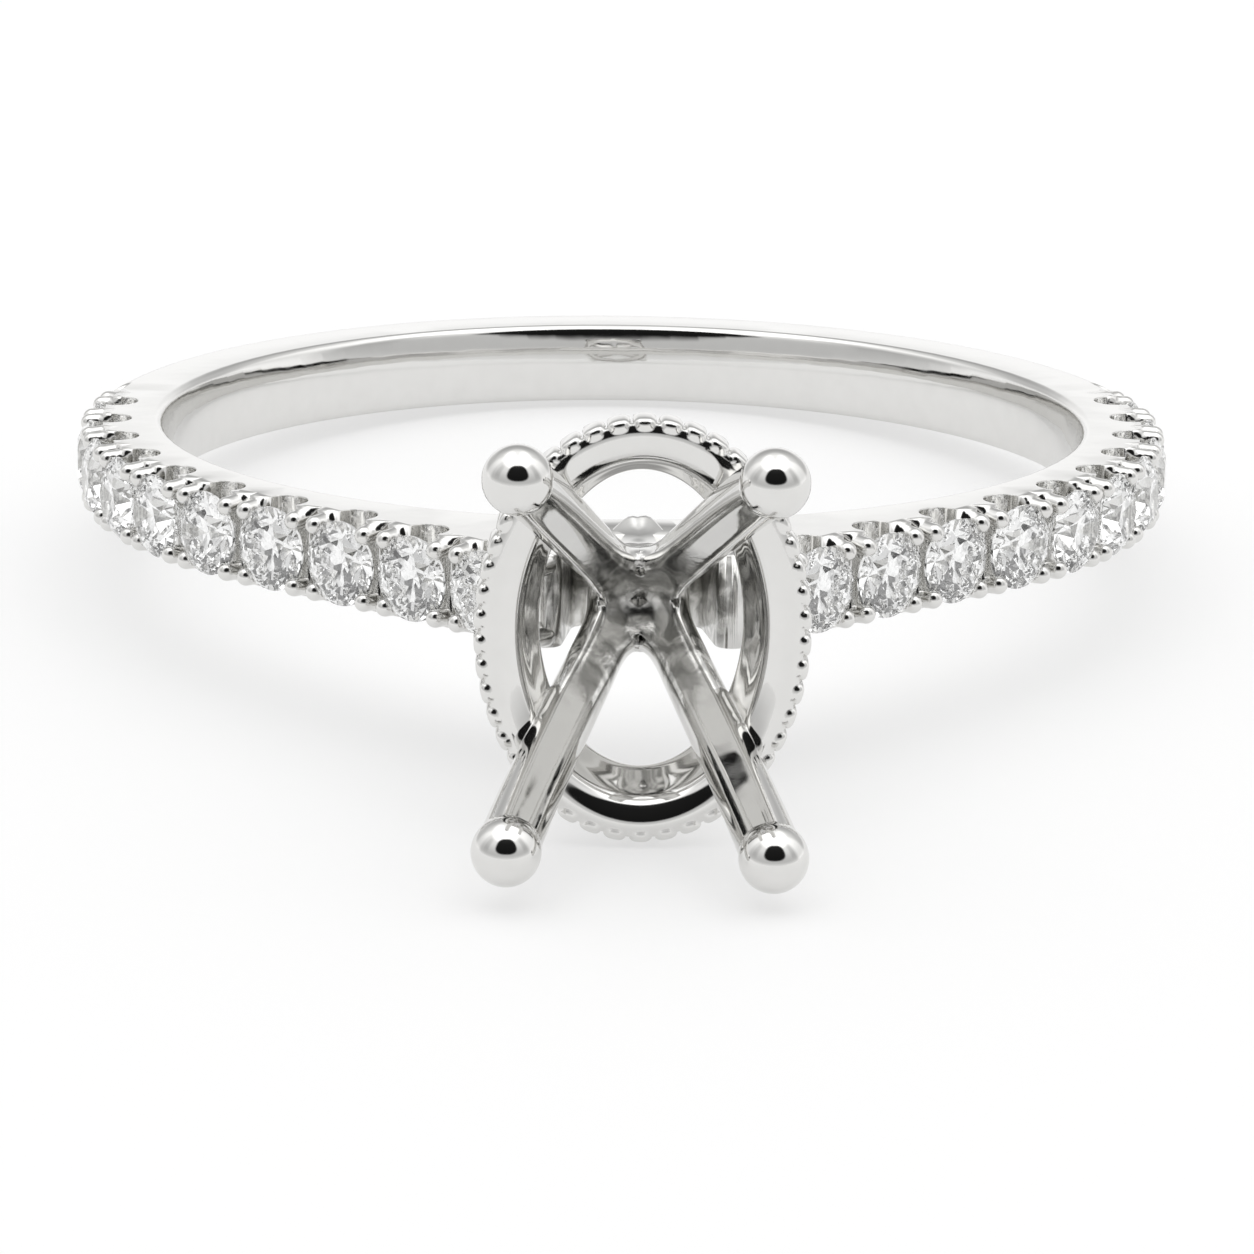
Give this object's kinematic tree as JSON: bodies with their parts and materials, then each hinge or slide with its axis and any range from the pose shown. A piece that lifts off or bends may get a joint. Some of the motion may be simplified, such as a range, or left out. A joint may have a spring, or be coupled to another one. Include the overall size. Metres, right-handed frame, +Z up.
{
  "type": "semi mount ring setting",
  "caption": "Slim polished ring with a row of small round stones along each shoulder and an open claw head with a beaded oval rim, ready to take an oval centre stone.",
  "frame": {"origin": "on the surface that the ring lies on, under the middle of its length from head to back and in the plane that halves it left from right", "axes": "+Z up from the surface that the ring lies on, +Y from the head towards the back of the band, +X to the right as seen from the head"},
  "size_m": [0.0202, 0.0262, 0.0074],
  "materials": {
    "white_gold": "mirror polished white gold",
    "clear_stone": "faceted and polished, colourless"
  },
  "bodies": {
    "root": {"ring_mount": "white_gold", "left_stone_1": "clear_stone", "left_stone_2": "clear_stone", "left_stone_3": "clear_stone", "left_stone_4": "clear_stone", "left_stone_5": "clear_stone", "left_stone_6": "clear_stone", "left_stone_7": "clear_stone", "left_stone_8": "clear_stone", "left_stone_9": "clear_stone", "left_stone_10": "clear_stone", "right_stone_1": "clear_stone", "right_stone_2": "clear_stone", "right_stone_3": "clear_stone", "right_stone_4": "clear_stone", "right_stone_5": "clear_stone", "right_stone_6": "clear_stone", "right_stone_7": "clear_stone", "right_stone_8": "clear_stone", "right_stone_9": "clear_stone", "right_stone_10": "clear_stone"}
  },
  "joints": []
}
